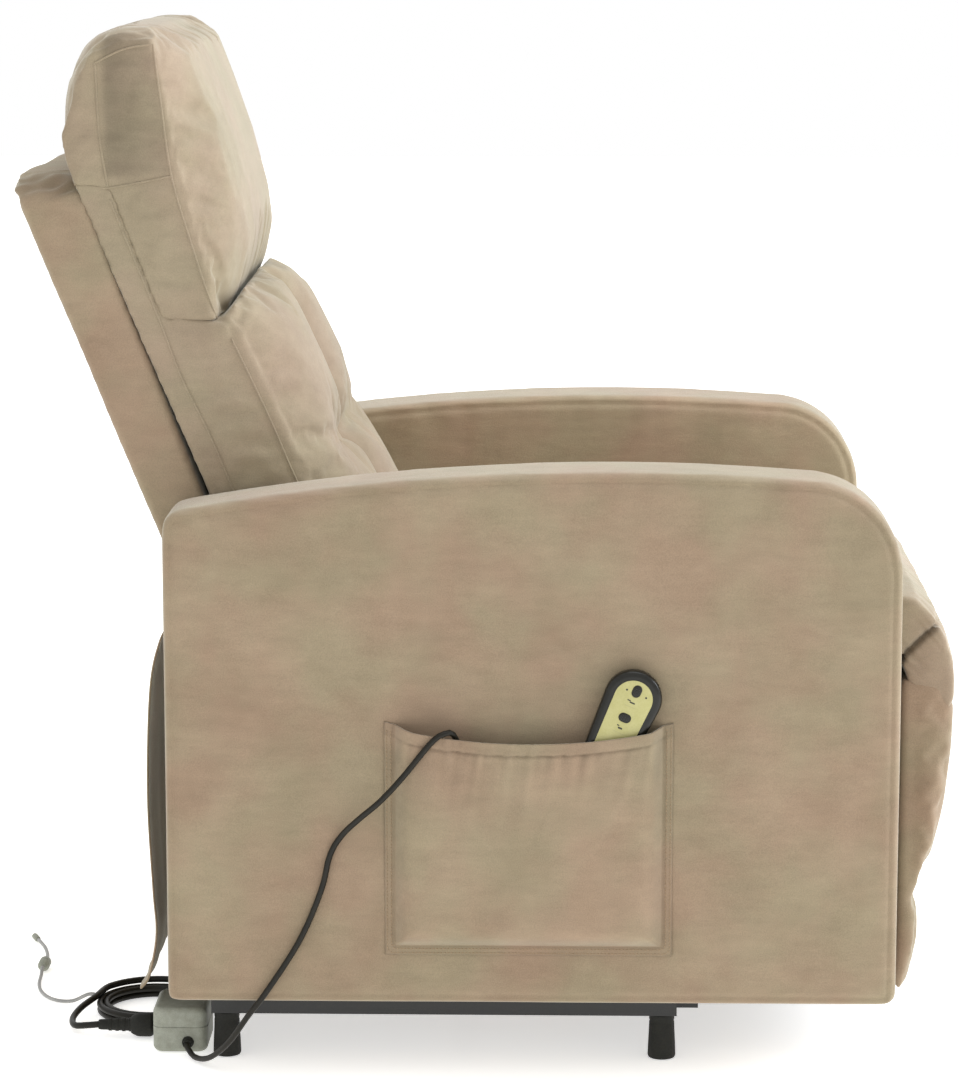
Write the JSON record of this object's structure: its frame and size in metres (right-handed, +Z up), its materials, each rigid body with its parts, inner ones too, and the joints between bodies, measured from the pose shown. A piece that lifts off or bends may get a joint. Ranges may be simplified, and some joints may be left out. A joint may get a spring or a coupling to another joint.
{
  "type": "lift recliner chair",
  "caption": "Upholstered single-seat lift recliner with padded arms, reclining back, fold-out legrest, side pocket and corded handset.",
  "frame": {"origin": "on the floor, under the middle of the chair's box without its floor leads", "axes": "+Z up, -Y the way the sitter faces, -X the pocket side"},
  "size_m": [0.7329, 1.0175, 1.0702],
  "materials": {
    "beige_velvet": "soft velvet with a short nap",
    "black_steel": "black powder coat",
    "zinc_steel": "zinc plated",
    "plywood": "raw plywood",
    "black_rubber": "moulded",
    "black_cable": "soft PVC",
    "grey_cable": "soft PVC",
    "black_gloss": "polished moulding",
    "black_matte": "fine texture",
    "cream_face": "satin overlay",
    "grey_plastic": "fine texture"
  },
  "bodies": {
    "base": {"base_rail_left": "black_steel", "base_rail_right": "black_steel", "base_crossbar_front": "black_steel", "base_crossbar_rear": "black_steel", "base_bracket_left": "black_steel", "base_bracket_right": "black_steel", "foot_front_left": "black_rubber", "foot_front_right": "black_rubber", "foot_rear_left": "black_rubber", "foot_rear_right": "black_rubber", "power_supply": "grey_plastic", "mains_lead": "black_cable", "mains_lead_coil": "black_cable", "mains_lead_end": "black_cable", "mains_plug": "black_cable", "lead_thin": "grey_cable", "lead_coupling": "grey_plastic", "lead_thin_tail": "grey_cable", "lead_connector": "grey_plastic"},
    "lift_arms": {"lift_arm_left": "black_steel", "lift_arm_right": "black_steel", "lift_tie_tube": "black_steel"},
    "guide_links": {"guide_link_left": "black_steel", "guide_link_right": "black_steel", "guide_shaft": "zinc_steel"},
    "seat": {"seat_side_plate_left": "black_steel", "seat_side_plate_right": "black_steel", "arm_rail_left": "black_steel", "arm_rail_right": "black_steel", "seat_rail_front": "black_steel", "seat_rail_rear": "black_steel", "seat_deck": "plywood", "seat_rear_shaft": "zinc_steel", "recline_shaft": "zinc_steel", "legrest_shaft": "zinc_steel", "motor_clevis": "black_steel", "seat_cushion": "beige_velvet", "arm_left": "beige_velvet", "arm_right": "beige_velvet", "pocket": "beige_velvet", "rear_flap": "beige_velvet", "handset_cord": "black_cable"},
    "motor": {"actuator_housing": "black_matte", "actuator_tube": "black_matte"},
    "rod": {"actuator_rod": "zinc_steel"},
    "back": {"back_panel": "plywood", "outer_back": "beige_velvet", "lumbar_cushion": "beige_velvet", "headrest_cushion": "beige_velvet"},
    "legrest": {"legrest_board": "plywood", "legrest_pad": "beige_velvet", "legrest_bracket_left": "black_steel", "legrest_bracket_right": "black_steel"},
    "legrest_crank": {"legrest_crank_shaft": "zinc_steel"},
    "legrest_links": {"legrest_drive_link_left": "black_steel", "legrest_drive_link_right": "black_steel"},
    "handset": {"handset_shell": "black_gloss", "handset_face": "cream_face"},
    "up_button": {"button_up": "black_gloss"},
    "down_button": {"button_down": "black_gloss"}
  },
  "joints": [
    {"name": "lift", "type": "hinge", "parent": "base", "child": "lift_arms", "pos_m": [0.01225, -0.08, 0.095], "axis": [1, 0, 0], "range_deg": [0, 50]},
    {"name": "seat_tilt", "type": "hinge", "parent": "lift_arms", "child": "seat", "pos_m": [0.01225, 0.27, 0.12], "axis": [1, 0, 0], "range_deg": [-29.5, 0]},
    {"name": "guide_swing", "type": "hinge", "parent": "base", "child": "guide_links", "pos_m": [0.01225, -0.193, 0.085], "axis": [1, 0, 0], "range_deg": [0, 63]},
    {"name": "motor_swing", "type": "hinge", "parent": "seat", "child": "motor", "pos_m": [0.01225, -0.3, 0.28], "axis": [1, 0, 0], "range_deg": [-8.5, 0]},
    {"name": "rod_stroke", "type": "slide", "parent": "motor", "child": "rod", "axis": [0, 0.9186, -0.3952], "range_m": [0, 0.058]},
    {"name": "recline", "type": "hinge", "parent": "seat", "child": "back", "pos_m": [0.01225, 0.262, 0.435], "axis": [-1, 0, 0], "range_deg": [0, 38]},
    {"name": "footrest", "type": "hinge", "parent": "seat", "child": "legrest", "pos_m": [0.01225, -0.405, 0.425], "axis": [-1, 0, 0], "range_deg": [0, 85]},
    {"name": "legrest_crank_turn", "type": "hinge", "parent": "seat", "child": "legrest_crank", "pos_m": [0.01225, -0.14, 0.32], "axis": [-1, 0, 0], "range_deg": [0, 85]},
    {"name": "legrest_link_swing", "type": "hinge", "parent": "legrest_crank", "child": "legrest_links", "pos_m": [0.01225, -0.09, 0.21], "axis": [-1, 0, 0], "range_deg": [-85, 0]},
    {"name": "handset_lift", "type": "slide", "parent": "seat", "child": "handset", "axis": [0, -0.4067, 0.9135], "range_m": [0, 0.05]},
    {"name": "button_up_press", "type": "slide", "parent": "handset", "child": "up_button", "axis": [1, 0, 0], "range_m": [0, 0.001], "stiffness_N_per_m": 800},
    {"name": "button_down_press", "type": "slide", "parent": "handset", "child": "down_button", "axis": [1, 0, 0], "range_m": [0, 0.001], "stiffness_N_per_m": 800}
  ],
  "couplings": [
    {"joint": "seat_tilt", "follows": "lift", "ratio": -0.5837},
    {"joint": "guide_swing", "follows": "lift", "ratio": 1.2519},
    {"joint": "motor_swing", "follows": "lift", "ratio": -0.162},
    {"joint": "rod_stroke", "follows": "lift", "m_per_rad": 0.0653},
    {"joint": "legrest_crank_turn", "follows": "footrest", "ratio": 1},
    {"joint": "legrest_link_swing", "follows": "footrest", "ratio": -1}
  ]
}
